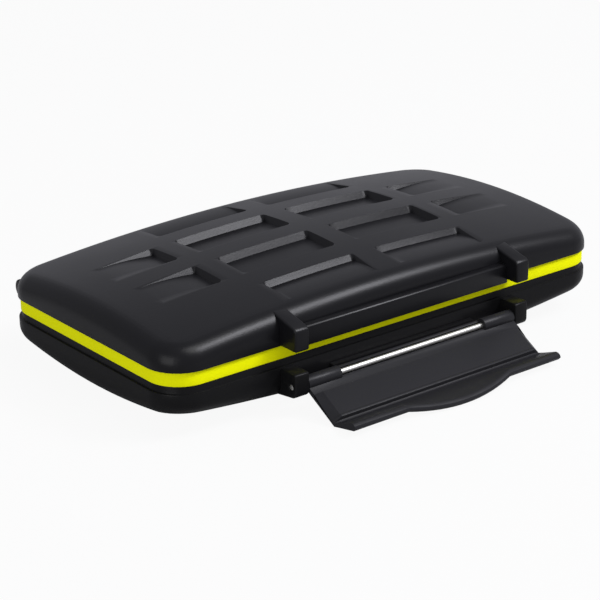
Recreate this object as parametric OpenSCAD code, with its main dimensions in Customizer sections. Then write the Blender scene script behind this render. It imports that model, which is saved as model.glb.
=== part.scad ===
// Memory card case: two crowned shells that close on a coloured seal, with
// two rear hinges and a swing latch in front, shown hanging open.
// X runs along the case, Y towards the hinges and Z up.
// The origin is the middle of the flat land that the case rests on.

/* [Case] */
// Length of the shells along X
case_l = 147; // [140:1:180]
// Width of the shells along Y, without latch and hinges
case_w = 78; // [77:1:100]
// Corner radius of the shells, seen from above
corner_r = 10; // [7:0.5:12]
// Height of the base shell, from the land to its rim
base_h = 14.4; // [13.8:0.1:18]
// Height of the seal band that shows between the shells
seal_h = 3.9; // [3:0.1:5]
// Height of the lid shell, from its rim to the middle of its crown
lid_h = 12.9; // [12:0.1:16]

/* [Crown] */
// Fall of the crowned faces from the middle to the ends
crown_l = 4.5; // [3:0.1:5]
// Fall of the crowned faces from the middle to the long sides
crown_w = 3.6; // [2:0.1:4]
// Height taken off the base's crown to make the flat land
land_cut = 0.4; // [0.2:0.05:0.8]
// Rounding between the lid's side wall and its crown
lid_edge_r = 4.5; // [3:0.1:4.8]
// Rounding between the base's side wall and its crown
base_edge_r = 3.4; // [2:0.1:4]
// Rounding inside the shells, between the side wall and the crown
inner_edge_r = 1.5; // [0.8:0.1:2]

/* [Walls] */
// Thickness of the side walls of both shells
side_wall = 3.4; // [3.2:0.1:3.8]
// Thickness of the lid's crowned wall
lid_wall = 3.4; // [2.9:0.1:4]
// Thickness of the base's crowned wall
base_wall = 2.2; // [1.8:0.1:3]
// Height of the set-back neck under the base's rim
neck_h = 1.9; // [1:0.1:2.2]
// How far that neck is set back
neck_in = 0.8; // [0.4:0.1:1]

/* [Recesses] */
// Length of one recess in the lid
recess_l = 30.6; // [20:0.1:31]
// Width of one recess in the lid
recess_w = 13; // [8:0.1:13.4]
// Bar left between two recesses
recess_gap = 6.6; // [5:0.1:7]
// Depth of the recesses
recess_depth = 1.9; // [0.8:0.1:2]
// Length over which the floor of an outer column's recess climbs out
run_l = 22; // [12:0.5:26]
// Length over which the floor of an outer row's recess climbs out
run_w = 12.6; // [8:0.1:13]
// Corner radius of a recess
recess_r = 1.5; // [0.5:0.1:2.5]

/* [Seal] */
// How far the seal band stays behind the lid's side wall
seal_in = 0.6; // [0.3:0.05:0.8]
// Width of the tongue that holds the seal in the base's rim
tongue_w = 1; // [0.8:0.1:1.2]
// Depth of that tongue
tongue_h = 2; // [1:0.1:3]
// Clearance round the tongue
tongue_fit = 0.1; // [0.05:0.05:0.15]
// Width of the lid's rib that presses into the seal
rib_w = 0.8; // [0.6:0.1:0.9]
// Height of that rib
rib_h = 0.9; // [0.5:0.1:1.2]
// Clearance round the rib, which swings out of the seal
rib_fit = 0.28; // [0.25:0.01:0.32]

/* [Latch posts] */
// Half of the span between the outer faces of the posts
post_half = 40; // [34:0.5:45]
// Width of one post
post_w = 4.4; // [3.5:0.1:6]
// How far the lid's posts stand out
post_out = 6.3; // [6:0.1:8]
// Height of the lid posts' front faces above the lid's rim
post_h = 6.2; // [5.8:0.1:7]
// How far the base's posts stand out
lug_out = 6; // [5.8:0.1:8]
// Top of the base's posts below the base's rim
lug_top = 2.3; // [1.9:0.1:3]
// Bottom of the base's posts below the base's rim
lug_bottom = 9; // [8:0.1:9.5]
// How far the ledge stands out between the lid's posts
ledge_out = 2.2; // [1.6:0.1:2.4]
// Height of the ledge's top above the lid's rim
ledge_h = 4.3; // [4:0.1:4.8]
// How far the ledge's skirt hangs below the lid's rim
skirt_h = 1; // [0.4:0.1:1.4]

/* [Latch] */
// Diameter of the latch pin
latch_pin_d = 1.5; // [1.2:0.1:1.7]
// Distance of the latch pin in front of the shells
pin_out = 4; // [3.9:0.1:4.2]
// Distance of the latch pin below the base's rim
pin_drop = 6.2; // [5.8:0.1:6.4]
// Radius of the latch's barrels round the pin
barrel_r = 1.9; // [1.6:0.05:2]
// Half of the length of pin that shows between the barrels
pin_window = 24.8; // [15:0.1:27]
// Thickness of the latch's plate
plate_t = 2.4; // [2:0.1:2.6]
// Gap between the closed latch and the ledge
latch_gap = 0.6; // [0.4:0.05:0.8]
// Gap between the latch's ends and the posts
latch_side_gap = 0.2; // [0.1:0.05:0.4]
// Thickness of the lip at its tip
lip_t = 2; // [1.6:0.1:2.4]
// Reach of the lip past the plate's inner face
lip_reach = 4.2; // [3.5:0.1:4.4]
// Lean of the lip's inner face away from the plate
lip_lean = 50; // [46:1:54]
// Rise of the finger pull in the middle of the lip
pull_rise = 3.1; // [1:0.1:4]
// Half of the length of the finger pull
pull_half = 17.5; // [10:0.5:25]
// Angle from the closed latch to the latch as it hangs open
latch_open = 120; // [100:1:121]

/* [Hinges] */
// Radius of the hinge knuckles
knuckle_r = 2.7; // [2.2:0.1:2.8]
// Gap between a knuckle and the other shell's side wall
knuckle_gap = 0.3; // [0.25:0.05:0.6]
// Diameter of the hinge pins
hinge_pin_d = 1.8; // [1.4:0.1:2]
// Distance of a hinge's outer end from the end of the case
hinge_end = 6.9; // [5:0.1:12]
// Length of each lid knuckle
lid_knuckle_l = 10.5; // [7:0.5:14]
// Length of each base knuckle
base_knuckle_l = 20.5; // [14:0.5:24]
// Gap between two knuckles
knuckle_side_gap = 0.3; // [0.15:0.05:0.5]
// Radial clearance of a pin in what turns on it
pin_fit = 0.05; // [0.02:0.01:0.08]
// Radial interference of a pin in what holds it
pin_press = 0.01; // [0.005:0.005:0.02]

/* [Trays] */
// Clearance round the trays
tray_fit = 0.4; // [0.2:0.05:0.6]
// Gap between the two trays when the case is closed
tray_gap = 0.9; // [0.5:0.1:1.5]
// Length of a full-size card
card_l = 32; // [31:0.1:32.5]
// Width of a full-size card
card_w = 24; // [23:0.1:25]
// Length of a small card
small_l = 15; // [14:0.1:16]
// Width of a small card
small_w = 11; // [10:0.1:12]
// Clearance on each side of a card in its pocket
card_fit = 0.3; // [0.1:0.05:0.5]
// Depth of a pocket for a full-size card
pocket_depth = 3.4; // [2.4:0.1:4]
// Depth of a pocket for a small card
small_depth = 2; // [1.2:0.1:3]
// Radius of the finger notch beside a full-size card
notch_r = 5.5; // [4.5:0.5:7]
// Radius of the finger notch beside a small card
small_notch_r = 4; // [3:0.5:5]

/* [Hidden] */
$fn = 48;

// Facets of a corner, a long side, a short side and a rounded edge
corner_steps = 8;
long_steps = 12;
short_steps = 6;
edge_steps = 5;
// Rings of a crowned face, as shares of its outline
crown_rings = [0.88, 0.7, 0.5, 0.28];
// How deep joined solids run into each other, and how far a cut passes a face
bite = 0.5;

// Columns and rows of the recesses, the full-size cards and the small cards
recess_grid = [4, 4];
card_grid = [4, 2];
small_grid = [6, 2];

// Rounding of the lid posts' tops, their rise to the crown, and how far in they meet it
post_round = 0.8;
post_rise = 2.35;
post_back = 3.8;
// How far the lid posts hang below the rim in front of the seal
post_drop = 0.1;
// Rounding of the base posts in front and below
lug_round = 1.8;
// Rise past the crown at the end of a recess that runs out, as a share of its depth
run_lift = 0.03;
// Rib on the base behind the latch pin: how far it stands out, and its height
stop_out = 1.4;
stop_up = 1.2;
stop_down = 2.6;
// How far the ledge's skirt reaches in under the lid's rim
skirt_in = 0.2;
// Bevel on the small edges
bevel = 0.4;
// Bevel across the plate's ends: its width, and the thickness left there
end_bevel = 2;
end_t = 0.8;
// Level of the latch's root beside the pin, and the clearance of its slot
root_level = 0.1;
slot_fit = 0.45;
slot_floor = 0.9;
// Groove and ridge between the plate and the lip
ridge_h = 0.25;
groove_h = 0.8;
// Least rise of the lip's inner face over the ledge, the lip's clearance over the
// lid's rounded edge, and the fall of the outer shoulder
hook_min = 0.8;
lip_clear = 0.35;
shoulder_drop = 0.4;
// Clearance under a tray where the shell is crowned
crown_gap = 0.3;
// Slack above the lid's rib in the seal
rib_slack = 0.3;

half_l = case_l / 2;
half_w = case_w / 2;
rim_z = base_h + seal_h;
lid_top = rim_z + lid_h;
trays_mid = base_h + seal_h / 2;
seal_mid = (neck_in + side_wall) / 2;
tray_inset = side_wall + tray_fit;

pin_y = -half_w - pin_out;
pin_z = base_h - pin_drop;
ledge_z = rim_z + ledge_h;
post_in = post_half - post_w;
latch_half = post_in - latch_side_gap;

hinge_y = half_w + knuckle_gap + knuckle_r;
hinge_z = base_h + seal_h / 2;
hinge_x0 = half_l - hinge_end;
hinge_x1 = hinge_x0 - lid_knuckle_l;
hinge_x2 = hinge_x1 - knuckle_side_gap;
hinge_x3 = hinge_x2 - base_knuckle_l;
hinge_x4 = hinge_x3 - knuckle_side_gap;
hinge_x5 = hinge_x4 - lid_knuckle_l;

// How far a crowned face has fallen at a point of the plan
function crown_fall(x, y) = crown_l * pow(x / half_l, 2) + crown_w * pow(y / half_w, 2);

// Height of the lid's rounded edge over its rim, at a distance in from the long side
function lid_edge(x, in) = lid_h - lid_edge_r - crown_fall(x, half_w - in)
                           + sqrt(pow(lid_edge_r, 2) - pow(lid_edge_r - in, 2));

// Rise of the lip's inner face over the ledge, so that its tip clears the rounded edge
lip_in = max(lip_reach - ledge_out - latch_gap - bevel, 0);
lip_run = (lip_reach - bevel - latch_gap) / tan(lip_lean);
hook_gap = max(hook_min, lid_edge(pull_half, lip_in) + lip_clear - ledge_h - lip_run);

// Points of a corner's arc, and of a straight side between two corners
function arc(cx, cy, r, from, steps) =
    [for (i = [0:steps]) let (t = from + 90 * i / steps) [cx + r * cos(t), cy + r * sin(t)]];
function side(a, b, steps) = [for (i = [1:steps - 1]) a + (b - a) * i / steps];

// The shells' outline, set in by a distance
function outline(inset) =
    let (r = max(corner_r - inset, bite), x = half_l - inset - r, y = half_w - inset - r,
         a = arc(x, y, r, 0, corner_steps), b = arc(-x, y, r, 90, corner_steps),
         c = arc(-x, -y, r, 180, corner_steps), d = arc(x, -y, r, 270, corner_steps),
         last = corner_steps)
    concat(a, side(a[last], b[0], long_steps), b, side(b[last], c[0], short_steps),
           c, side(c[last], d[0], long_steps), d, side(d[last], a[0], short_steps));

// One ring of a crowned solid, dropped below its crowned face
function crowned_ring(inset, share, drop, h) =
    [for (p = outline(inset) * share) [p[0], p[1], h - drop - crown_fall(p[0], p[1])]];

// Side faces of a stack of rings of n points, wound outwards
function stack_faces(count, n) =
    [for (k = [0:count - 2], i = [0:n - 1])
     let (a = k * n + i, b = k * n + (i + 1) % n)
     each [[a, b + n, b], [a, a + n, b + n]]];

// Solid with straight sides from z = 0, a rounded edge and a crowned top
module crowned_block(inset, h, edge_r) {
    rim = [for (p = outline(inset)) [p[0], p[1], 0]];
    edge = [for (i = [0:edge_steps]) let (t = 90 * i / edge_steps)
            crowned_ring(inset + edge_r * (1 - cos(t)), 1, edge_r * (1 - sin(t)), h)];
    top = [for (share = crown_rings) crowned_ring(inset + edge_r, share, 0, h)];
    rings = concat([rim], edge, top);
    n = len(rim);
    middles = len(rings) * n;
    last = middles - n;
    points = concat([for (ring = rings) each ring], [[0, 0, 0], [0, 0, h]]);
    caps = [for (i = [0:n - 1]) let (j = (i + 1) % n)
            each [[i, j, middles], [last + i, middles + 1, last + j]]];
    polyhedron(points, concat(stack_faces(len(rings), n), caps));
}

// Upright ring between two insets of the outline
module wall_ring(outer, inner, z0, z1) {
    translate([0, 0, z0]) linear_extrude(z1 - z0) difference() {
        polygon(outline(outer));
        polygon(outline(inner));
    }
}

// Prism along X, from a profile of Y and Z
module along_x(x0, x1, profile) {
    translate([x0, 0, 0]) rotate([90, 0, 90]) linear_extrude(x1 - x0) polygon(profile);
}

module cylinder_x(x0, x1, y, z, r) {
    translate([x0, y, z]) rotate([0, 90, 0]) cylinder(r = r, h = x1 - x0);
}

// Hole along X that runs out of both ends of what it is cut from
module bore_x(x0, x1, y, z, r) {
    cylinder_x(x0 - bite, x1 + bite, y, z, r);
}

module both_ends() {
    children();
    mirror([1, 0, 0]) children();
}

// Half-space slab between two heights
module slab(z0, z1) {
    translate([-case_l, -case_w, z0]) cube([2 * case_l, 2 * case_w, z1 - z0]);
}

// One knuckle with its web to the shell: up is 1 on the lid and -1 on the base
module knuckle(x0, x1, up) {
    rim = seal_h / 2;
    web = [[hinge_y - knuckle_r * cos(55), knuckle_r * sin(55)],
           [half_w - 2 * bite, rim + knuckle_r + bite],
           [half_w - 2 * bite, rim + bite / 2],
           [half_w, rim + bite / 2],
           [hinge_y - knuckle_r * 0.97, knuckle_r * 0.2],
           [hinge_y, 0]];
    cylinder_x(x0, x1, hinge_y, hinge_z, knuckle_r);
    along_x(x0, x1, [for (p = web) [p[0], hinge_z + up * p[1]]]);
}

// Prism with round corners, from x = 0 and centred on Y, that starts at a depth
module rounded_prism(l, w, z0, z1) {
    cy = w / 2 - recess_r;
    corners = [for (q = [[l - recess_r, cy, 0], [recess_r, cy, 90], [recess_r, -cy, 180],
                         [l - recess_r, -cy, 270]])
               each arc(q[0], q[1], recess_r, q[2], 4)];
    translate([0, 0, z0]) linear_extrude(z1 - z0) polygon(corners);
}

// Recess whose floor starts at full depth and climbs out of the crown along X
module run_out(l, w, reach, bend) {
    steps = 6;
    floor_line = [for (i = [0:steps]) let (s = i / steps)
                  [reach * s, recess_depth * (run_lift - (1 + run_lift) * pow(1 - s, 2))
                              - bend * pow(reach * s, 2)]];
    intersection() {
        rounded_prism(l, w, -recess_depth - crown_l, crown_l);
        rotate([90, 0, 0]) translate([0, 0, -w]) linear_extrude(2 * w)
            polygon(concat([[reach, crown_l], [-bite, crown_l], [-bite, -recess_depth]], floor_line));
    }
}

// One recess of the grid: it follows the crown, or runs out at an outer column or row
module recess(col, row) {
    pitch = [recess_l + recess_gap, recess_w + recess_gap];
    x = (col - (recess_grid[0] - 1) / 2) * pitch[0];
    y = (row - (recess_grid[1] - 1) / 2) * pitch[1];
    out_x = abs(x) > pitch[0] ? sign(x) : 0;
    out_y = abs(y) > pitch[1] ? sign(y) : 0;
    // An outer recess is hung from the edge that is nearest to the middle of the lid
    hung = [x - out_x * recess_l / 2, y - out_y * recess_w / 2];
    slope_x = atan(2 * crown_l * hung[0] / pow(half_l, 2));
    slope_y = atan(2 * crown_w * hung[1] / pow(half_w, 2));
    translate([hung[0], hung[1], lid_top - crown_fall(hung[0], hung[1])])
        rotate([-slope_y, slope_x, 0]) {
            if (out_x == 0 && out_y == 0)
                translate([-recess_l / 2, 0, 0])
                    rounded_prism(recess_l, recess_w, -recess_depth, crown_l);
            if (out_x != 0)
                rotate([0, 0, 90 - 90 * out_x])
                    run_out(recess_l, recess_w, run_l, crown_l / pow(half_l, 2));
            if (out_y != 0)
                rotate([0, 0, 90 * out_y])
                    run_out(recess_w, recess_l, run_w, crown_w / pow(half_w, 2));
        }
}

module recesses() {
    for (col = [0:recess_grid[0] - 1], row = [0:recess_grid[1] - 1]) {
        outer_col = col == 0 || col == recess_grid[0] - 1;
        outer_row = row == 0 || row == recess_grid[1] - 1;
        if (!(outer_col && outer_row)) recess(col, row);
    }
}

// The lid's two posts, between which the latch closes
module lid_posts() {
    front = -half_w - post_out;
    back = -half_w + 3 * bite;
    low = rim_z - post_drop;
    top = rim_z + post_h;
    both_ends() along_x(post_in, post_half, concat(
        [[-half_w + skirt_in, low], [-half_w + skirt_in, rim_z + bite], [back, rim_z + bite],
         [back, top + bite], [-half_w + post_back, top + post_rise - bite],
         [-half_w + post_back, top + post_rise]],
        arc(front + post_round, top - post_round, post_round, 90, 4),
        [[front, low]]));
}

// The ledge that the latch's lip hooks over, with its skirt below the rim
module ledge() {
    front = -half_w - ledge_out;
    low = rim_z - skirt_h;
    along_x(-post_in - bite, post_in + bite, [
        [front, low], [-half_w + skirt_in, low], [-half_w + skirt_in, rim_z + bite],
        [-half_w + 3 * bite, rim_z + bite], [-half_w + 3 * bite, ledge_z],
        [front + bevel, ledge_z], [front, ledge_z - bevel]]);
}

// The base's two posts, which carry the latch pin
module base_posts() {
    front = -half_w - lug_out;
    back = -half_w + 5 * bite;
    top = base_h - lug_top;
    low = base_h - lug_bottom;
    both_ends() along_x(post_in, post_half, concat(
        [[back, low - lug_round / 2], [back, top], [front + bevel, top], [front, top - bevel]],
        arc(front + lug_round, low + lug_round, lug_round, 180, 4)));
}

module base_shell() {
    color([0.10, 0.10, 0.11]) difference() {
        union() {
            difference() {
                intersection() {
                    translate([0, 0, base_h]) mirror([0, 0, 1])
                        crowned_block(0, base_h + land_cut, base_edge_r);
                    slab(0, 2 * base_h);
                }
                intersection() {
                    translate([0, 0, base_h + bite]) mirror([0, 0, 1])
                        crowned_block(side_wall, base_h + bite + land_cut - base_wall, inner_edge_r);
                    slab(base_wall, 2 * base_h);
                }
                wall_ring(-bite, neck_in, base_h - neck_h, base_h + bite);
            }
            base_posts();
            along_x(-pin_window + bite, pin_window - bite, [
                [-half_w - stop_out, pin_z - stop_down], [-half_w + 3 * bite, pin_z - stop_down],
                [-half_w + 3 * bite, pin_z + stop_up], [-half_w - stop_out, pin_z + stop_up]]);
            both_ends() knuckle(hinge_x3, hinge_x2, -1);
        }
        wall_ring(seal_mid - tongue_w / 2 - tongue_fit, seal_mid + tongue_w / 2 + tongue_fit,
                  base_h - tongue_h - tongue_fit, base_h + bite);
        both_ends() bore_x(post_in, post_half, pin_y, pin_z, latch_pin_d / 2 - pin_press);
        both_ends() bore_x(hinge_x3, hinge_x2, hinge_y, hinge_z, hinge_pin_d / 2 - pin_press);
    }
}

module lid_shell() {
    ceiling_h = lid_h - lid_wall;
    color([0.17, 0.17, 0.18]) difference() {
        union() {
            difference() {
                translate([0, 0, rim_z]) crowned_block(0, lid_h, lid_edge_r);
                recesses();
            }
            lid_posts();
            ledge();
            wall_ring(seal_mid - rib_w / 2, seal_mid + rib_w / 2, rim_z - rib_h, rim_z + bite);
            both_ends() knuckle(hinge_x1, hinge_x0, 1);
            both_ends() knuckle(hinge_x5, hinge_x4, 1);
        }
        intersection() {
            translate([0, 0, rim_z - bite]) crowned_block(side_wall, ceiling_h + bite, inner_edge_r);
            slab(0, rim_z + ceiling_h - land_cut);
        }
        both_ends() bore_x(hinge_x5, hinge_x0, hinge_y, hinge_z, hinge_pin_d / 2 + pin_fit);
    }
}

module seal_ring() {
    color([0.85, 0.84, 0.05]) difference() {
        union() {
            wall_ring(seal_in, side_wall, base_h, rim_z);
            wall_ring(seal_mid - tongue_w / 2, seal_mid + tongue_w / 2, base_h - tongue_h, base_h + bite);
        }
        wall_ring(seal_mid - rib_w / 2 - rib_fit, seal_mid + rib_w / 2 + rib_fit,
                  rim_z - rib_h - rib_slack, rim_z + bite);
    }
}

// The latch's section, closed: distance behind the pin, height over the pin,
// share of the finger pull's rise, and 1 for a point that the end bevel moves
function latch_section() =
    let (ledge_n = pin_out - ledge_out, ledge_a = ledge_z - pin_z,
         inner = ledge_n - latch_gap, outer = inner - plate_t, tip = inner + lip_reach,
         root_a = ledge_a + hook_gap - latch_gap / tan(lip_lean),
         tip_a = root_a + lip_reach / tan(lip_lean))
    [[outer, 0, 0, 0], [root_level, 0, 0, 0], [root_level, 4.1, 0, 0], [inner, 4.6, 0, 1],
     [inner, root_a - 2.4, 0, 1], [inner + ridge_h, root_a - 2.1, 0, 1],
     [inner + ridge_h, root_a - 1.5, 0, 1], [inner - groove_h, root_a - 1.2, 0, 1],
     [inner - groove_h, root_a - 0.6, 0, 0], [inner, root_a + 0.1, 0, 0],
     [tip - bevel, tip_a - bevel / tan(lip_lean), 1, 0], [tip, tip_a + bevel, 1, 0],
     [tip, tip_a + lip_t - 2 * bevel, 1, 0], [tip - bevel, tip_a + lip_t - bevel / 2, 1, 0],
     [tip - 1.4, tip_a + lip_t - bevel, 1, 0], [outer + bevel, ledge_a - shoulder_drop + bevel, 0, 0],
     [outer, ledge_a - shoulder_drop, 0, 0]];

// Triangles that close the section at an end
section_cap = [[0, 1, 2], [0, 2, 16], [16, 2, 3], [16, 3, 4], [16, 4, 5], [16, 5, 6], [16, 6, 7],
               [16, 7, 8], [16, 8, 15], [15, 8, 9], [15, 9, 10], [15, 10, 14], [14, 10, 11],
               [14, 11, 12], [14, 12, 13]];

// The plate and lip: the section run along X, with bevelled ends and finger pull
module latch_plate() {
    section = latch_section();
    outer = section[0][0];
    n = len(section);
    pull_steps = 16;
    pull_x = [for (i = [0:pull_steps]) pull_half * (2 * i / pull_steps - 1)];
    stations = concat([-latch_half, -latch_half + end_bevel], pull_x,
                      [latch_half - end_bevel, latch_half]);
    rings = [for (x = stations)
             let (rise = abs(x) < pull_half ? pull_rise * (1 - pow(x / pull_half, 2)) : 0,
                  at_end = abs(x) > latch_half - end_bevel / 2)
             [for (p = section)
              [x, at_end && p[3] == 1 ? min(p[0], outer + end_t) : p[0], p[1] + rise * p[2]]]];
    last = (len(rings) - 1) * n;
    caps = [for (t = section_cap)
            each [[t[0], t[1], t[2]], [last + t[0], last + t[2], last + t[1]]]];
    polyhedron([for (ring = rings) each ring], concat(caps, stack_faces(len(rings), n)));
}

module latch() {
    slot = latch_pin_d / 2 + slot_fit;
    color([0.19, 0.19, 0.20]) translate([0, pin_y, pin_z]) rotate([latch_open, 0, 0]) difference() {
        union() {
            latch_plate();
            cylinder_x(-latch_half, latch_half, 0, 0, barrel_r);
        }
        translate([-pin_window, root_level, -2 * barrel_r])
            cube([2 * pin_window, 2 * barrel_r, 4 * barrel_r]);
        translate([-pin_window, slot_floor - barrel_r, -slot])
            cube([2 * pin_window, 2 * barrel_r, 2 * slot]);
        bore_x(-latch_half, latch_half, 0, 0, latch_pin_d / 2 + pin_fit);
    }
}

module latch_pin() {
    color([0.92, 0.91, 0.89])
        cylinder_x(-post_half + bevel / 2, post_half - bevel / 2, pin_y, pin_z, latch_pin_d / 2);
}

module hinge_pin() {
    color([0.75, 0.75, 0.74])
        cylinder_x(hinge_x5 + bevel, hinge_x0 - bevel, hinge_y, hinge_z, hinge_pin_d / 2);
}

module hinge_pin_left() {
    mirror([1, 0, 0]) hinge_pin();
}

module hinge_pin_right() {
    hinge_pin();
}

// Places its child in each cell of a grid that shares out a tray
module grid(cells, cell_l, cell_w) {
    gap_x = (2 * (half_l - tray_inset) - cells[0] * cell_l) / (cells[0] + 1);
    gap_y = (2 * (half_w - tray_inset) - cells[1] * cell_w) / (cells[1] + 1);
    for (i = [0:cells[0] - 1], j = [0:cells[1] - 1])
        translate([(i - (cells[0] - 1) / 2) * (cell_l + gap_x),
                   (j - (cells[1] - 1) / 2) * (cell_w + gap_y), 0]) children();
}

// Pocket for one card, open upwards from z = 0, with a round finger notch
module pocket(l, w, depth, r) {
    translate([-l / 2, -w / 2, -depth]) cube([l, w, depth + bite]);
    translate([l / 2, 0, -depth + bevel]) cylinder(r = r, h = depth + bite);
}

module base_tray() {
    top = trays_mid - tray_gap / 2;
    color([0.06, 0.06, 0.06]) difference() {
        intersection() {
            translate([0, 0, top]) mirror([0, 0, 1])
                crowned_block(tray_inset, top + land_cut - base_wall - crown_gap, inner_edge_r);
            slab(base_wall, top + bite);
        }
        translate([0, 0, top]) grid(card_grid, card_w + 2 * card_fit, card_l + 2 * card_fit)
            pocket(card_w + 2 * card_fit, card_l + 2 * card_fit, pocket_depth, notch_r);
    }
}

module lid_tray() {
    low = trays_mid + tray_gap / 2;
    color([0.06, 0.06, 0.06]) difference() {
        intersection() {
            translate([0, 0, low])
                crowned_block(tray_inset, lid_top - lid_wall - low - crown_gap, inner_edge_r);
            slab(low - bite, lid_top - lid_wall - land_cut);
        }
        translate([0, 0, low]) mirror([0, 0, 1])
            grid(small_grid, small_w + 2 * card_fit, small_l + 2 * card_fit)
                pocket(small_w + 2 * card_fit, small_l + 2 * card_fit, small_depth, small_notch_r);
    }
}

base_shell();
lid_shell();
seal_ring();
latch();
latch_pin();
hinge_pin_left();
hinge_pin_right();
base_tray();
lid_tray();
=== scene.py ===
# %% Load the frame
import math
import bmesh
import bpy
from mathutils import Matrix, Vector


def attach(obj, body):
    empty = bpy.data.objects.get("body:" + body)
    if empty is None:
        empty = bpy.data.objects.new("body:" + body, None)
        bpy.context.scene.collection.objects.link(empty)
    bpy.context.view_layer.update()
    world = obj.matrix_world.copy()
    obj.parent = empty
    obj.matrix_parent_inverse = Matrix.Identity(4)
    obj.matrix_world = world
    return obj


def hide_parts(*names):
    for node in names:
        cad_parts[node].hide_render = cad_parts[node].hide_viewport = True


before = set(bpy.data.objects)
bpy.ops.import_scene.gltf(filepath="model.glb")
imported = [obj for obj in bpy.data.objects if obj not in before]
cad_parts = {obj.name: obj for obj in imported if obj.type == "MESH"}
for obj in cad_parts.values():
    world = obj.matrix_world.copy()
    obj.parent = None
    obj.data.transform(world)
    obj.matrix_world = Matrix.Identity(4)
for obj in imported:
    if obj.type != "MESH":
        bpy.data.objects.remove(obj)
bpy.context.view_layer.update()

# %% [markdown]
# The case is a flat box for memory cards: two crowned plastic shells that close
# on a yellow seal, two hinges behind and a swing latch in front, which hangs
# open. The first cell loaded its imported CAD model, which gives every place and
# size. The sizes below are the ones that the pieces share, in metres. They are
# written once, so that a change of one carries through every piece. The front
# fittings are sunk into the wall: skin and root are the Y of a place just
# inside it and of one deep in it. The lid's top and the hinge knuckles are a
# hair smaller than in the CAD model, so that rounding can't push them out of
# its box.

# %% Sizes that the pieces share
MM = 0.001
half_l, half_w, corner_r = 73.5 * MM, 39 * MM, 10 * MM
base_h, rim_z, lid_top = 14.4 * MM, 18.3 * MM, 31.195 * MM
fall_l, fall_w, land_cut, crown_gap = 4.5 * MM, 3.6 * MM, 0.4 * MM, 0.5 * MM
lid_edge_r, base_edge_r = 4.5 * MM, 3.4 * MM
side_wall, neck_h, neck_in = 3.4 * MM, 1.9 * MM, 0.8 * MM
post_in, post_half = 35.6 * MM, 40 * MM
skin, root = 0.2 * MM - half_w, 1.5 * MM - half_w
pin_y, pin_z, pin_r, pin_bore_r = -43 * MM, 8.2 * MM, 0.75 * MM, 0.76 * MM
hinge_y, hinge_z, knuckle_r = 42 * MM, 16.35 * MM, 2.69 * MM
hinge_pin_r, lid_bore_r = 0.9 * MM, 0.95 * MM
snap = 0.005 * MM
print("shell", 2000 * half_l, "by", 2000 * half_w, "mm, lid top at", 1000 * lid_top)

# %% [markdown]
# Blender's operators act on whatever is selected, and the CAD nodes come in
# selected. So each step starts by letting go of everything and taking hold of
# one piece. These small helpers do that, pick faces and edges by their place,
# and apply a modifier as the button in the modifier panel does.

# %% Helpers for working on one piece at a time
def let_go():
    if bpy.context.object and bpy.context.object.mode != "OBJECT":
        bpy.ops.object.mode_set(mode="OBJECT")
    bpy.ops.object.select_all(action="DESELECT")


def hold(piece):
    let_go()
    piece.select_set(True)
    bpy.context.view_layer.objects.active = piece


def settle(piece):
    hold(piece)
    bpy.ops.object.transform_apply(location=True, rotation=True, scale=True)


def open_edit(piece, kind):
    hold(piece)
    bpy.ops.object.mode_set(mode="EDIT")
    bpy.ops.mesh.select_mode(type=kind)
    bpy.ops.mesh.select_all(action="DESELECT")


def pick(piece, what, test):
    """Selects the verts, edges or faces that pass the test, and gives their number."""
    mesh = bmesh.from_edit_mesh(piece.data)
    chosen = [part for part in getattr(mesh, what) if test(part)]
    for part in chosen:
        part.select_set(True)
    mesh.select_flush_mode()
    bmesh.update_edit_mesh(piece.data)
    return len(chosen)


def modify(piece, kind, **settings):
    hold(piece)
    modifier = piece.modifiers.new(kind.lower(), kind)
    for name, value in settings.items():
        setattr(modifier, name, value)
    bpy.ops.object.modifier_apply(modifier=modifier.name)


def soften(piece, width, angle=32, steps=2):
    """Breaks the sharp edges, as a mould does, and shades the rest smooth."""
    modify(piece, "BEVEL", width=width, segments=steps, limit_method="ANGLE",
           angle_limit=math.radians(angle), harden_normals=False, use_clamp_overlap=True)
    shade(piece)


def shade(piece, angle=35):
    hold(piece)
    bpy.ops.object.shade_smooth_by_angle(angle=math.radians(angle))


def cut(piece, cutter, operation="DIFFERENCE"):
    modify(piece, "BOOLEAN", object=cutter, operation=operation, solver="EXACT")
    bpy.data.objects.remove(cutter, do_unlink=True)


def join(piece, *others):
    hold(piece)
    for other in others:
        other.select_set(True)
    bpy.ops.object.join()
    return piece


def at_level(part, z, slack=0.00005):
    return all(abs(v.co.z - z) < slack for v in part.verts)


print("helpers ready")

# %% [markdown]
# Both shells begin as the same form: a plate with round corners, extruded into
# a block. The real shells are moulded with a gentle crown, highest in the
# middle. A crown is awkward to model on directly, so each shell is finished
# flat first, scored into a grid, and only then bent, like a sheet laid over a
# pillow. What was cut into it, such as the recesses, bends with it.

# %% A rounded block, its scoring and its crown
def rounded_block(name, inset, low, high, steps=16):
    let_go()
    bpy.ops.mesh.primitive_plane_add(size=1, location=(0, 0, low))
    block = bpy.context.object
    block.name = name
    block.scale = (2 * (half_l - inset), 2 * (half_w - inset), 1)
    settle(block)
    open_edit(block, "VERT")
    bpy.ops.mesh.select_all(action="SELECT")
    bpy.ops.mesh.bevel(offset=corner_r - inset, segments=steps, affect="VERTICES")
    bpy.ops.mesh.select_all(action="SELECT")
    bpy.ops.mesh.extrude_region_move(TRANSFORM_OT_translate={"value": (0, 0, high - low)})
    bpy.ops.mesh.select_all(action="SELECT")
    bpy.ops.mesh.normals_make_consistent(inside=False)
    bpy.ops.object.mode_set(mode="OBJECT")
    return block


def round_over(block, level, radius, steps):
    open_edit(block, "EDGE")
    pick(block, "edges", lambda edge: at_level(edge, level))
    bpy.ops.mesh.bevel(offset=radius, segments=steps, affect="EDGES", clamp_overlap=False)
    bpy.ops.object.mode_set(mode="OBJECT")


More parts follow.
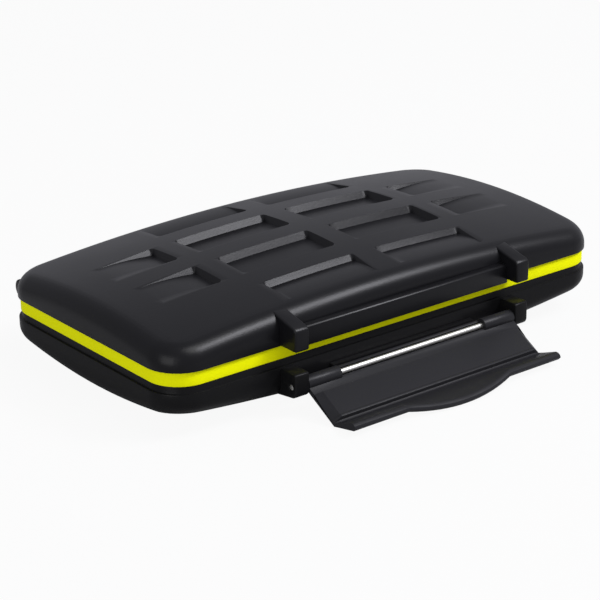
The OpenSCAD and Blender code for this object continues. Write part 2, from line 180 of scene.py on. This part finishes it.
def in_ring(face, level, outer, inner):
    """True for a level face whose middle lies between two distances in from the wall."""
    middle = face.calc_center_median()
    cx, cy = abs(middle.x) - (half_l - corner_r), abs(middle.y) - (half_w - corner_r)
    if cx > 0 and cy > 0:
        depth = corner_r - math.hypot(cx, cy)
    else:
        depth = min(half_l - abs(middle.x), half_w - abs(middle.y))
    return at_level(face, level) and outer < depth < inner


def score_line(axis, at):
    """Cuts one line through the mesh that is open in edit mode, across an axis."""
    place, normal = [0, 0, 0], [0, 0, 0]
    place[axis], normal[axis] = at, 1
    bpy.ops.mesh.select_all(action="SELECT")
    bpy.ops.mesh.bisect(plane_co=place, plane_no=normal, threshold=snap)


def score(block, step=3.2 * MM):
    open_edit(block, "FACE")
    for axis, reach in ((0, half_l), (1, half_w)):
        count = round(2 * reach / step)
        for i in range(1, count):
            score_line(axis, -reach + 2 * reach * i / count)
    bpy.ops.object.mode_set(mode="OBJECT")


def crown_fall(x, y):
    return fall_l * (x / half_l) ** 2 + fall_w * (y / half_w) ** 2


def crown(block, start, up):
    """Bends what lies past the start level: up is 1 for the lid and -1 for the base."""
    for v in block.data.vertices:
        if up * (v.co.z - start) > 0:
            v.co.z -= up * crown_fall(v.co.x, v.co.y)
    block.data.update()


def bar(name, x0, x1, profile):
    """A prism along X from points of Y and Z, made as an extruded face."""
    let_go()
    bpy.ops.mesh.primitive_circle_add(vertices=len(profile), radius=MM, fill_type="NGON")
    piece = bpy.context.object
    piece.name = name
    for v, (y, z) in zip(piece.data.vertices, profile):
        v.co = (x0, y, z)
    open_edit(piece, "FACE")
    bpy.ops.mesh.select_all(action="SELECT")
    bpy.ops.mesh.extrude_region_move(TRANSFORM_OT_translate={"value": (x1 - x0, 0, 0)})
    bpy.ops.mesh.select_all(action="SELECT")
    bpy.ops.mesh.normals_make_consistent(inside=False)
    settle(piece)
    return piece


def rod(name, x0, x1, y, z, radius, sides=48):
    let_go()
    bpy.ops.mesh.primitive_cylinder_add(
        vertices=sides, radius=radius, depth=x1 - x0, location=((x0 + x1) / 2, y, z),
        rotation=(0, math.pi / 2, 0))
    piece = bpy.context.object
    piece.name = name
    settle(piece)
    return piece


def other_side(piece):
    """A copy mirrored across X, with its faces turned outwards again."""
    hold(piece)
    bpy.ops.object.duplicate()
    twin = bpy.context.object
    twin.scale = (-1, 1, 1)
    settle(twin)
    open_edit(twin, "FACE")
    bpy.ops.mesh.select_all(action="SELECT")
    bpy.ops.mesh.normals_make_consistent(inside=False)
    bpy.ops.object.mode_set(mode="OBJECT")
    return twin


print("crown falls", round(1000 * crown_fall(half_l, half_w), 2), "mm at the corner")

# %% [markdown]
# The lid has a grid of shallow recesses in its top. The four in the middle are
# sunk evenly, and the outer ones run out into the crown like thumb marks. A
# cutter is a block with round corners. At an outer place it is scored across,
# and its floor is lifted along a parabola until it has left the surface. The
# walls lean out, and there the lamps draw a soft light band. They start as a
# chamfer at the foot, which is then stretched upwards past the surface, so the
# outer recesses get narrower as they get shallower.

# %% Cutters for the recesses
recess_l, recess_w, recess_deep, recess_r = 30.6 * MM, 13 * MM, 1.9 * MM, 1.5 * MM
pitch_x, pitch_y = 37.2 * MM, 19.6 * MM
run_l, run_w, floor_steps, cutter_h = 22 * MM, 12.6 * MM, 15, 6 * MM
climb_share, steep_end = 1.03, 4
chamfer, wall_over, wall_slope = 1.4 * MM, 0.2 * MM, math.tan(math.radians(64))


def climb(place, edge, lean, run):
    """Lift of the floor at a place: it climbs away from the recess's inner edge.

    After the run it has just left the surface, and from there it rises steeply.
    """
    share = max(lean * (place - edge) / run, 0)
    curve = climb_share * (1 - (1 - min(share, 1)) ** 2)
    return recess_deep * (curve + steep_end * max(share - 1, 0))


def recess_cutter(x, y, lean_x, lean_y):
    let_go()
    floor_z = lid_top - recess_deep
    bpy.ops.mesh.primitive_cube_add(size=1, location=(x, y, floor_z + cutter_h / 2))
    cutter = bpy.context.object
    cutter.scale = (recess_l, recess_w, cutter_h)
    settle(cutter)
    open_edit(cutter, "EDGE")
    pick(cutter, "edges", lambda e: abs(e.verts[0].co.z - e.verts[1].co.z) > MM)
    bpy.ops.mesh.bevel(offset=recess_r, segments=6, affect="EDGES")
    bpy.ops.mesh.select_all(action="DESELECT")
    pick(cutter, "edges", lambda e: at_level(e, floor_z))
    bpy.ops.mesh.bevel(offset=chamfer, segments=1, affect="EDGES")
    for axis, lean, centre, length in ((0, lean_x, x, recess_l), (1, lean_y, y, recess_w)):
        if lean:
            floor_half = length / 2 - chamfer
            for i in range(1, floor_steps):
                score_line(axis, centre - floor_half + 2 * floor_half * i / floor_steps)
    bpy.ops.object.mode_set(mode="OBJECT")
    wall_h = recess_deep + wall_over
    for v in cutter.data.vertices:
        up_wall = (v.co.z - floor_z) / chamfer  # 0 at the foot, 1 at the chamfer's upper edge
        if up_wall < 1.01:
            lift = (climb(v.co.x, x - lean_x * recess_l / 2, lean_x, run_l)
                    + climb(v.co.y, y - lean_y * recess_w / 2, lean_y, run_w))
            spread = (1 - up_wall) * (chamfer - wall_h / wall_slope)
            v.co.x += spread * (v.co.x - x) / (recess_l / 2 - chamfer)
            v.co.y += spread * (v.co.y - y) / (recess_w / 2 - chamfer)
            v.co.z = floor_z + up_wall * wall_h + lift
    return cutter


cutters = []
for column in (-1.5, -0.5, 0.5, 1.5):
    for row in (-1.5, -0.5, 0.5, 1.5):
        lean_x = (abs(column) > 1) * math.copysign(1, column)
        lean_y = (abs(row) > 1) * math.copysign(1, row)
        if not (lean_x and lean_y):
            cutters.append(recess_cutter(column * pitch_x, row * pitch_y, lean_x, lean_y))
print("recess cutters:", len(cutters))
recess_tool = join(*cutters)

# %% [markdown]
# The lid shell itself: the block's top edge is rounded over, the recesses are
# cut, and the hollow inside is made from the open face by inset and extrude,
# as one would by hand. Between the first two insets stands a thin rib, which
# presses into the seal. The small bevel comes while everything is still flat,
# because there it meets clean edges. Then the lid is scored and crowned.

# %% The lid shell
rib_in, rib_w, rib_h, inner_step, hollow_h = 1.7 * MM, 0.8 * MM, 0.9 * MM, 0.9 * MM, 9.1 * MM
lid = rounded_block("lid_shell_form", 0, rim_z, lid_top)
round_over(lid, lid_top, lid_edge_r, 10)
cut(lid, recess_tool)

open_edit(lid, "FACE")
pick(lid, "faces", lambda face: at_level(face, rim_z))
for thickness in (rib_in, rib_w, inner_step):
    bpy.ops.mesh.inset(thickness=thickness)
bpy.ops.mesh.extrude_region_move(TRANSFORM_OT_translate={"value": (0, 0, hollow_h)})
bpy.ops.mesh.select_all(action="DESELECT")
rib_faces = pick(lid, "faces", lambda face: in_ring(face, rim_z, rib_in, rib_in + rib_w))
bpy.ops.mesh.extrude_region_move(TRANSFORM_OT_translate={"value": (0, 0, -rib_h)})
bpy.ops.object.mode_set(mode="OBJECT")
soften(lid, 0.16 * MM, angle=40)
score(lid)
crown(lid, rim_z + crown_gap, 1)
shade(lid)
print("lid faces:", len(lid.data.polygons), "rib faces:", rib_faces)

# %% [markdown]
# In front the lid carries two posts and a ledge between them, which the latch
# hooks over. Both are prisms with softened edges, sunk a little into the wall
# that carries them. A post's top reaches back over the lid's rounded edge like
# an arm. Above the ledge that edge runs on unbroken.

# %% Posts and ledge
post_front, post_back, post_nose = -45.3 * MM, -35.2 * MM, 0.8 * MM
post_low, post_step, post_top = 18.2 * MM, 19.4 * MM, 24.5 * MM
arm_root, arm_low, arm_top = 24.8 * MM, 25.7 * MM, 26.83 * MM
ledge_out, ledge_low, ledge_z = -41.2 * MM, 17.3 * MM, 22.6 * MM
ledge_step, ledge_edge, ledge_overlap = 18.8 * MM, 0.4 * MM, 0.3 * MM
post_profile = [(skin, post_low), (skin, post_step), (root, post_step), (root, arm_root),
                (post_back, arm_low), (post_back, arm_top),
                (post_front + post_nose, post_top), (post_front, post_top - post_nose),
                (post_front, post_low)]
post = bar("post", post_in, post_half, post_profile)
soften(post, 0.5 * MM, angle=40, steps=4)
ledge = bar("ledge", -post_in - ledge_overlap, post_in + ledge_overlap, [
    (ledge_out, ledge_low), (skin, ledge_low), (skin, ledge_step), (root, ledge_step),
    (root, ledge_z), (ledge_out + ledge_edge, ledge_z), (ledge_out, ledge_z - ledge_edge)])
soften(ledge, 0.15 * MM)
print("post front at", 1000 * post_front, "ledge top at", 1000 * ledge_z)

# %% [markdown]
# Behind, each hinge is a lid knuckle, a base knuckle and a lid knuckle in line
# on one steel pin. A knuckle is a short drum on a web that grows out of the
# shell. The hole for the pin shows at the ends, so it is really cut.

# %% Knuckles
hinge_x = [66.6 * MM, 56.1 * MM, 55.8 * MM, 35.3 * MM, 35.0 * MM, 24.5 * MM]
web_far, web_near, web_in = 5.15 * MM, 2.2 * MM, half_w - MM


def knuckle(name, x0, x1, up, bore):
    drum = rod(name, x0, x1, hinge_y, hinge_z, knuckle_r, 64)
    web = bar(name + "_web", x0, x1, [
        (hinge_y - 0.55 * knuckle_r, hinge_z + up * 0.8 * knuckle_r),
        (web_in, hinge_z + up * web_far), (web_in, hinge_z + up * web_near),
        (half_w, hinge_z + up * web_near),
        (hinge_y - 0.97 * knuckle_r, hinge_z + up * 0.2 * knuckle_r), (hinge_y, hinge_z)])
    cut(drum, web, "UNION")
    cut(drum, rod("bore_tool", x0 - MM, x1 + MM, hinge_y, hinge_z, bore))
    soften(drum, 0.18 * MM, angle=40)
    return drum


lid_knuckles = [knuckle("lid_knuckle", hinge_x[1], hinge_x[0], 1, lid_bore_r),
                knuckle("lid_knuckle", hinge_x[5], hinge_x[4], 1, lid_bore_r)]
lid_parts = [post, ledge] + lid_knuckles
lid_parts += [other_side(part) for part in [post] + lid_knuckles]
lid = join(lid, *lid_parts)
lid.name = "lid_shell_moulding"
shade(lid)
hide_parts("lid_shell")
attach(lid, "lid")
print("lid triangles:", sum(len(p.vertices) - 2 for p in lid.data.polygons))

# %% [markdown]
# The base shell is the same block turned over, with a set-back neck under the
# seal. Everything above the neck comes from insets and extrudes of one face:
# step in, go up, step in again and go down for the hollow. The flat land that
# the case stands on is a bisect through the crowned underside. In front, two
# lugs carry the latch's pin, and a rib stands on the wall behind it.

# %% The base shell
base_floor = 1.8 * MM
base = rounded_block("base_shell_form", 0, -land_cut, base_h - neck_h)
round_over(base, -land_cut, base_edge_r, 8)
open_edit(base, "FACE")
pick(base, "faces", lambda face: at_level(face, base_h - neck_h))
bpy.ops.mesh.inset(thickness=neck_in)
bpy.ops.mesh.extrude_region_move(TRANSFORM_OT_translate={"value": (0, 0, neck_h)})
bpy.ops.mesh.inset(thickness=side_wall - neck_in)
bpy.ops.mesh.extrude_region_move(TRANSFORM_OT_translate={"value": (0, 0, base_floor - base_h)})
bpy.ops.object.mode_set(mode="OBJECT")
soften(base, 0.2 * MM, angle=40)
score(base)
crown(base, base_h - neck_h - crown_gap, -1)
open_edit(base, "FACE")
bpy.ops.mesh.select_all(action="SELECT")
bpy.ops.mesh.bisect(plane_co=(0, 0, 0), plane_no=(0, 0, 1), use_fill=True, clear_inner=True,
                    threshold=0.0001 * MM)
bpy.ops.object.mode_set(mode="OBJECT")

lug_back, lug_front, lug_top, lug_nose = -36.5 * MM, -45 * MM, 12.1 * MM, 0.4 * MM
lug_low, lug_turn_z, lug_turn_r = 4.5 * MM, 7.2 * MM, 1.8 * MM
lug_profile = [(lug_back, lug_low), (lug_back, lug_top), (lug_front + lug_nose, lug_top),
               (lug_front, lug_top - lug_nose)]
for i in range(7):
    turn = math.radians(180 + 15 * i)
    lug_profile.append((lug_front + lug_turn_r * (1 + math.cos(turn)),
                        lug_turn_z + lug_turn_r * math.sin(turn)))
lug = bar("lug", post_in, post_half, lug_profile)
cut(lug, rod("bore_tool", post_in - MM, post_half + MM, pin_y, pin_z, pin_bore_r))
soften(lug, 0.3 * MM, angle=40, steps=3)
stop_half, stop_out, stop_low, stop_top = 24.3 * MM, -40.4 * MM, 5.6 * MM, 9.4 * MM
stop = bar("stop_rib", -stop_half, stop_half, [
    (stop_out, stop_low), (root, stop_low), (root, stop_top), (stop_out, stop_top)])
soften(stop, 0.2 * MM)
base_knuckle = knuckle("base_knuckle", hinge_x[3], hinge_x[2], -1, hinge_pin_r)
base = join(base, lug, other_side(lug), stop, base_knuckle, other_side(base_knuckle))
base.name = "base_shell_moulding"
shade(base)
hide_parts("base_shell")
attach(base, "base")
print("base triangles:", sum(len(p.vertices) - 2 for p in base.data.polygons))

# %% [markdown]
# The seal is a ring of soft silicone between the shells. It is the only bright
# thing on the case, and its edges are slightly round, because it is moulded
# rubber. On top it has a groove for the lid's rib.

# %% The seal ring
seal_in, seal_lip, groove_w, groove_h = 0.6 * MM, 0.82 * MM, 1.36 * MM, 1.2 * MM
seal = rounded_block("seal_band", seal_in, base_h, rim_z, 20)
open_edit(seal, "FACE")
pick(seal, "faces", lambda face: at_level(face, rim_z) or at_level(face, base_h))
for thickness in (seal_lip, groove_w, 0.62 * MM):
    bpy.ops.mesh.inset(thickness=thickness)
bpy.ops.mesh.bridge_edge_loops()
bpy.ops.object.mode_set(mode="OBJECT")
print("seal faces:", len(seal.data.polygons))

open_edit(seal, "FACE")
groove_in = seal_in + seal_lip
groove_faces = pick(seal, "faces",
                    lambda face: in_ring(face, rim_z, groove_in, groove_in + groove_w))
bpy.ops.mesh.extrude_region_move(TRANSFORM_OT_translate={"value": (0, 0, -groove_h)})
bpy.ops.object.mode_set(mode="OBJECT")
soften(seal, 0.22 * MM, angle=50, steps=3)
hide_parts("seal_ring")
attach(seal, "base")
print("groove faces:", groove_faces)

# %% [markdown]
# The latch and the trays have their right shape in the CAD model already. A
# copy of the node's mesh is merged and its flat areas are cleaned, so that it
# takes a bevel: real mouldings have no razor edges, and the thin highlights
# along them are what the eye reads as plastic.

# %% Pieces taken over from the CAD
def taken_over(node, body, width, flat=1.0, angle=25):
    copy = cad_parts[node].copy()
    copy.data = copy.data.copy()
    copy.name = node + "_moulding"
    bpy.context.scene.collection.objects.link(copy)
    copy.parent = None
    copy.hide_render = copy.hide_viewport = False
    copy.matrix_world = Matrix.Identity(4)
    open_edit(copy, "FACE")
    bpy.ops.mesh.select_all(action="SELECT")
    bpy.ops.mesh.remove_doubles(threshold=0.002 * MM)
    bpy.ops.mesh.select_all(action="SELECT")
    bpy.ops.mesh.dissolve_limited(angle_limit=math.radians(flat))
    bpy.ops.object.mode_set(mode="OBJECT")
    soften(copy, width, angle=angle)
    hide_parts(node)
    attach(copy, body)
    return copy


latch = taken_over("latch", "latch", 0.18 * MM)
base_tray = taken_over("base_tray", "base", 0.25 * MM, angle=40)
lid_tray = taken_over("lid_tray", "lid", 0.2 * MM, angle=40)
print("latch faces:", len(latch.data.polygons))

# %% [markdown]
# The pins are drawn steel wire, cut to length with a slightly rounded end. A
# rod with many sides and a bevel at its ends is all that they need.

# %% Steel pins
pin_half, hinge_pin_x = 39.8 * MM, (24.9 * MM, 66.2 * MM)
latch_pin = rod("latch_pin_wire", -pin_half, pin_half, pin_y, pin_z, pin_r, 64)
soften(latch_pin, 0.18 * MM, angle=60, steps=3)
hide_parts("latch_pin")
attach(latch_pin, "base")
hinge_wire = rod("hinge_pin_right_wire", *hinge_pin_x, hinge_y, hinge_z, hinge_pin_r, 64)
soften(hinge_wire, 0.18 * MM, angle=60, steps=3)
hinge_wire_left = other_side(hinge_wire)
hinge_wire_left.name = "hinge_pin_left_wire"
for wire, node in ((hinge_wire, "hinge_pin_right"), (hinge_wire_left, "hinge_pin_left")):
    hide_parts(node)
    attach(wire, "base")
print("pins:", latch_pin.name, hinge_wire.name, hinge_wire_left.name)

# %% [markdown]
# Moulded plastic is never one flat colour. Its surface has a fine grain from
# the mould, which breaks up the gloss, and slow cloudy changes of tone. Both
# are the same effect at different strengths on the lid, base, latch, seal and
# trays, so they are one node group with inputs for colour and strength.

# %% Node group: moulded surface
def moulded_surface():
    group = bpy.data.node_groups.new("moulded_surface", "ShaderNodeTree")
    face = group.interface
    face.new_socket("Colour", in_out="INPUT", socket_type="NodeSocketColor")
    for name, value in (("Grain Size", 2600.0), ("Cloud", 0.05), ("Roughness", 0.4),
                        ("Roughness Spread", 0.08)):
        face.new_socket(name, in_out="INPUT", socket_type="NodeSocketFloat").default_value = value
    face.new_socket("Colour", in_out="OUTPUT", socket_type="NodeSocketColor")
    face.new_socket("Roughness", in_out="OUTPUT", socket_type="NodeSocketFloat")
    face.new_socket("Height", in_out="OUTPUT", socket_type="NodeSocketFloat")
    nodes, links = group.nodes, group.links
    start, end = nodes.new("NodeGroupInput"), nodes.new("NodeGroupOutput")
    place = nodes.new("ShaderNodeTexCoord")
    grain, cloud = nodes.new("ShaderNodeTexNoise"), nodes.new("ShaderNodeTexNoise")
    grain.inputs["Detail"].default_value = 3.0
    cloud.inputs["Scale"].default_value = 45.0
    cloud.inputs["Detail"].default_value = 4.0
    links.new(place.outputs["Object"], grain.inputs["Vector"])
    links.new(place.outputs["Object"], cloud.inputs["Vector"])
    links.new(start.outputs["Grain Size"], grain.inputs["Scale"])

    def math_node(operation, a, b, c=None):
        node = nodes.new("ShaderNodeMath")
        node.operation = operation
        for socket, value in zip(node.inputs, (a, b, c)):
            if value is None:
                continue
            if isinstance(value, (int, float)):
                socket.default_value = value
            else:
                links.new(value, socket)
        return node.outputs[0]

    sway = math_node("SUBTRACT", cloud.outputs["Fac"], 0.5)
    tone = math_node("MULTIPLY_ADD", sway, start.outputs["Cloud"], 1.0)
    speck = math_node("SUBTRACT", grain.outputs["Fac"], 0.5)
    speck_share = 0.12
    tone = math_node("MULTIPLY_ADD", speck, speck_share, tone)
    tint = nodes.new("ShaderNodeVectorMath")
    tint.operation = "SCALE"
    links.new(start.outputs["Colour"], tint.inputs[0])
    links.new(tone, tint.inputs["Scale"])
    rough = math_node("MULTIPLY_ADD", sway, start.outputs["Roughness Spread"],
                      start.outputs["Roughness"])
    links.new(tint.outputs[0], end.inputs["Colour"])
    links.new(rough, end.inputs["Roughness"])
    links.new(grain.outputs["Fac"], end.inputs["Height"])
    return group


surface_group = moulded_surface()
print("group sockets:", [s.name for s in surface_group.interface.items_tree])

# %% [markdown]
# Each plastic then gets its own material from that group. They differ in
# colour, roughness, shine, and the size and depth of the grain. The bump
# distance stays at a few hundredths of a millimetre, because the grain of a
# case is felt more than seen.

# %% Plastic and rubber materials
def moulded(name, colour, roughness, grain_size, bump, shine=0.2, cloud=0.06, spread=0.1):
    material = bpy.data.materials.new(name)
    material.use_nodes = True
    nodes, links = material.node_tree.nodes, material.node_tree.links
    shader = nodes["Principled BSDF"]
    shader.inputs["Specular IOR Level"].default_value = shine
    group = nodes.new("ShaderNodeGroup")
    group.node_tree = surface_group
    group.inputs["Colour"].default_value = (*colour, 1)
    for socket, value in (("Grain Size", grain_size), ("Cloud", cloud), ("Roughness", roughness),
                          ("Roughness Spread", spread)):
        group.inputs[socket].default_value = value
    height = nodes.new("ShaderNodeBump")
    height.inputs["Strength"].default_value = 0.35
    height.inputs["Distance"].default_value = bump
    links.new(group.outputs["Colour"], shader.inputs["Base Color"])
    links.new(group.outputs["Roughness"], shader.inputs["Roughness"])
    links.new(group.outputs["Height"], height.inputs["Height"])
    links.new(height.outputs["Normal"], shader.inputs["Normal"])
    return material


lid_plastic = moulded("lid_satin_grey", (0.005, 0.005, 0.0058), 0.31, 2300, 0.05 * MM, 0.13)
base_plastic = moulded("base_satin_black", (0.005, 0.005, 0.0053), 0.32, 2300, 0.05 * MM, 0.08)
latch_plastic = moulded("latch_satin_grey", (0.013, 0.013, 0.0145), 0.36, 2300, 0.05 * MM, 0.1)
seal_rubber = moulded("seal_lemon_silicone", (0.68, 0.70, 0.001), 0.6, 1800, 0.02 * MM, 0.03,
                      0.03)
tray_rubber = moulded("tray_black_rubber", (0.012, 0.012, 0.012), 0.6, 1500, 0.04 * MM)
print("materials:", [m.name for m in (lid_plastic, base_plastic, latch_plastic, seal_rubber,
                                      tray_rubber)])

# %% [markdown]
# Drawn wire has fine scratches along its length. A noise that is stretched a
# hundredfold along X gives them, and it moves only the roughness.

# %% Steel material
def drawn_steel():
    material = bpy.data.materials.new("drawn_steel_wire")
    material.use_nodes = True
    nodes, links = material.node_tree.nodes, material.node_tree.links
    shader = nodes["Principled BSDF"]
    shader.inputs["Base Color"].default_value = (0.56, 0.555, 0.53, 1)
    shader.inputs["Metallic"].default_value = 1.0
    place, stretch = nodes.new("ShaderNodeTexCoord"), nodes.new("ShaderNodeMapping")
    stretch.inputs["Scale"].default_value = (40, 4000, 4000)
    streaks, spread = nodes.new("ShaderNodeTexNoise"), nodes.new("ShaderNodeMapRange")
    streaks.inputs["Scale"].default_value = 1.0
    spread.inputs["To Min"].default_value = 0.42
    spread.inputs["To Max"].default_value = 0.5
    links.new(place.outputs["Object"], stretch.inputs["Vector"])
    links.new(stretch.outputs["Vector"], streaks.inputs["Vector"])
    links.new(streaks.outputs["Fac"], spread.inputs["Value"])
    links.new(spread.outputs["Result"], shader.inputs["Roughness"])
    return material


wire_steel = drawn_steel()
for piece, material, slot in (
        (lid, lid_plastic, "lid_plastic"), (base, base_plastic, "base_plastic"),
        (seal, seal_rubber, "seal_rubber"), (latch, latch_plastic, "latch_plastic"),
        (base_tray, tray_rubber, "tray_rubber"), (lid_tray, tray_rubber, "tray_rubber"),
        (latch_pin, wire_steel, "steel"), (hinge_wire, wire_steel, "steel"),
        (hinge_wire_left, wire_steel, "steel")):
    piece.data.materials.clear()
    piece.data.materials.append(material)
print("finishes set")

# %% [markdown]
# The case stands on a plain floor that fades into white, as in a catalogue
# photograph. The floor shows the camera mostly its own white, with a share of
# real diffuse light so that a soft shadow stays.

# %% Floor
let_go()
bpy.ops.mesh.primitive_plane_add(size=6, location=(0, 0, -0.1 * MM))
floor = bpy.context.object
floor.name = "studio_floor"
floor_white = bpy.data.materials.new("studio_floor_white")
floor_white.use_nodes = True
nodes, links = floor_white.node_tree.nodes, floor_white.node_tree.links
shader = nodes["Principled BSDF"]
shader.inputs["Base Color"].default_value = (0.36, 0.36, 0.36, 1)
shader.inputs["Roughness"].default_value = 0.9
glow, mixer, path = (nodes.new("ShaderNodeEmission"), nodes.new("ShaderNodeMixShader"),
                     nodes.new("ShaderNodeLightPath"))
seen = nodes.new("ShaderNodeMath")
seen.operation = "MULTIPLY"
white_share = 0.93
seen.inputs[1].default_value = white_share
links.new(path.outputs["Is Camera Ray"], seen.inputs[0])
links.new(seen.outputs[0], mixer.inputs["Fac"])
links.new(shader.outputs[0], mixer.inputs[1])
links.new(glow.outputs[0], mixer.inputs[2])
links.new(mixer.outputs[0], nodes["Material Output"].inputs["Surface"])
floor.data.materials.append(floor_white)
print("floor:", floor.name)

# %% [markdown]
# The light is a pale, slightly blue world and three soft lamps. The key lamp
# stands high in front, to the right, and draws the narrow highlight along the
# rounding of the lid's edge. A weaker lamp above widens it, and a low one from
# the left lights the walls. The world is pure white only where the camera sees
# it, so it fades into the floor; the case reflects the dimmer, bluish one.

# %% World and lamps
world = bpy.data.worlds.new("studio")
bpy.context.scene.world = world
world.use_nodes = True
nodes, links = world.node_tree.nodes, world.node_tree.links
nodes.clear()
soft, white = nodes.new("ShaderNodeBackground"), nodes.new("ShaderNodeBackground")
soft.inputs["Color"].default_value = (0.92, 0.92, 1.0, 1)
soft.inputs["Strength"].default_value = 0.58
white.inputs["Strength"].default_value = 1.0
path, mixer, out = (nodes.new("ShaderNodeLightPath"), nodes.new("ShaderNodeMixShader"),
                    nodes.new("ShaderNodeOutputWorld"))
clear = nodes.new("ShaderNodeMath")
clear.operation = "MAXIMUM"
links.new(path.outputs["Is Camera Ray"], clear.inputs[0])
links.new(path.outputs["Is Transmission Ray"], clear.inputs[1])
links.new(clear.outputs[0], mixer.inputs["Fac"])
links.new(soft.outputs[0], mixer.inputs[1])
links.new(white.outputs[0], mixer.inputs[2])
links.new(mixer.outputs[0], out.inputs["Surface"])


def soft_lamp(name, place, aim, size, power, colour=(1, 1, 1)):
    data = bpy.data.lights.new(name, "AREA")
    data.shape, data.size, data.energy, data.color = "SQUARE", size, power, colour
    lamp = bpy.data.objects.new(name, data)
    bpy.context.scene.collection.objects.link(lamp)
    lamp.location = place
    lamp.rotation_euler = (Vector(aim) - Vector(place)).to_track_quat("-Z", "Y").to_euler()
    return lamp


key = soft_lamp("key_softbox", (0.44, -0.45, 0.69), (0, 0, 0.02), 0.3, 8, (0.94, 0.94, 1.0))
left_fill = soft_lamp("left_fill", (-0.85, -0.35, 0.3), (0, 0, 0.01), 0.6, 3.4)
overhead = soft_lamp("overhead_fill", (0.14, -0.4, 0.84), (0, 0, 0.02), 0.45, 4)
print("lamps:", key.name, left_fill.name, overhead.name)

# %% [markdown]
# The camera stands where the photographer's did: in front, to the left and a
# little above. Its place, lens and shift were fitted to edges of the case that
# can be found both in the photograph and in the model. The fit had the case
# 142 units long and measured from the base's rim.

# %% Camera
yaw, pitch, roll = 0.68902, 0.37266, -0.004
ahead = Vector((math.sin(yaw) * math.cos(pitch), math.cos(yaw) * math.cos(pitch),
                -math.sin(pitch)))
right = Vector((math.cos(yaw), -math.sin(yaw), 0))
up = right.cross(ahead)
right, up = (math.cos(roll) * right + math.sin(roll) * up,
             math.cos(roll) * up - math.sin(roll) * right)
lens = bpy.data.cameras.new("catalogue_camera")
camera = bpy.data.objects.new("catalogue_camera", lens)
bpy.context.scene.collection.objects.link(camera)
fitted_unit = 147 / 142 * MM
place = fitted_unit * (-553.379 * ahead + 13.4437 * right - 4.8230 * up)
place.z += base_h
camera.matrix_world = Matrix.Translation(place) @ Matrix((right, up, -ahead)).transposed().to_4x4()
sensor, focal_pixels, photo_pixels = 36, 2075.18, 600
lens.sensor_width = sensor
lens.lens = focal_pixels / photo_pixels * sensor
lens.shift_x, lens.shift_y = -0.1, -0.0005
lens.clip_start = 0.01
bpy.context.scene.camera = camera
bpy.context.scene.view_settings.view_transform = "Standard"
print("camera at", [round(v, 4) for v in camera.matrix_world.translation],
      "lens", round(lens.lens, 1))

# %% [markdown]
# Last, everything is let go of, so that no piece stays selected.

# %% Finish
let_go()
